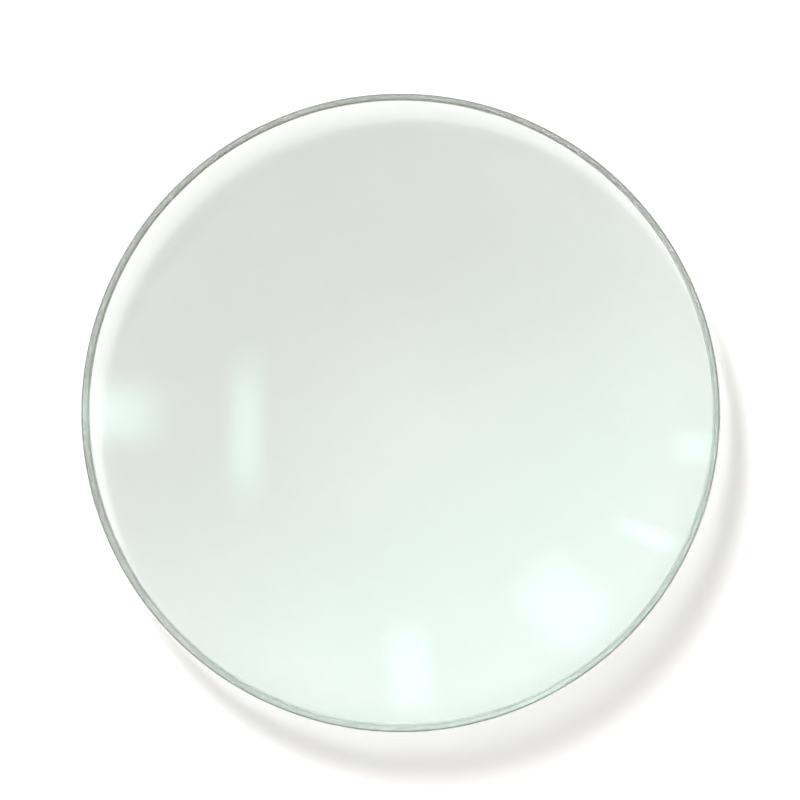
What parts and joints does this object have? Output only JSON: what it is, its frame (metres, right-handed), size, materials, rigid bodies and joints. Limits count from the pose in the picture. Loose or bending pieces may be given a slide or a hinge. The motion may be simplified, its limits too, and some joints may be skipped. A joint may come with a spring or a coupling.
{
  "type": "spectacle lens",
  "caption": "Round uncut spectacle lens of clear coated glass: a thin meniscus with a convex front, a concave back, a ground cylindrical edge and small safety bevels.",
  "frame": {"origin": "vertex of the convex front face, the point the lens lies on when its hollow side is up", "axes": "+Z along the optical axis, from the convex front face to the concave back face; the lens is a body of revolution, so X and Y are any two directions across it"},
  "size_m": [0.07, 0.07, 0.0075],
  "materials": {
    "lens": "polished faces with a faint green anti-reflection coating, and a fine-ground edge"
  },
  "bodies": {
    "root": {"lens": "lens"}
  },
  "joints": []
}
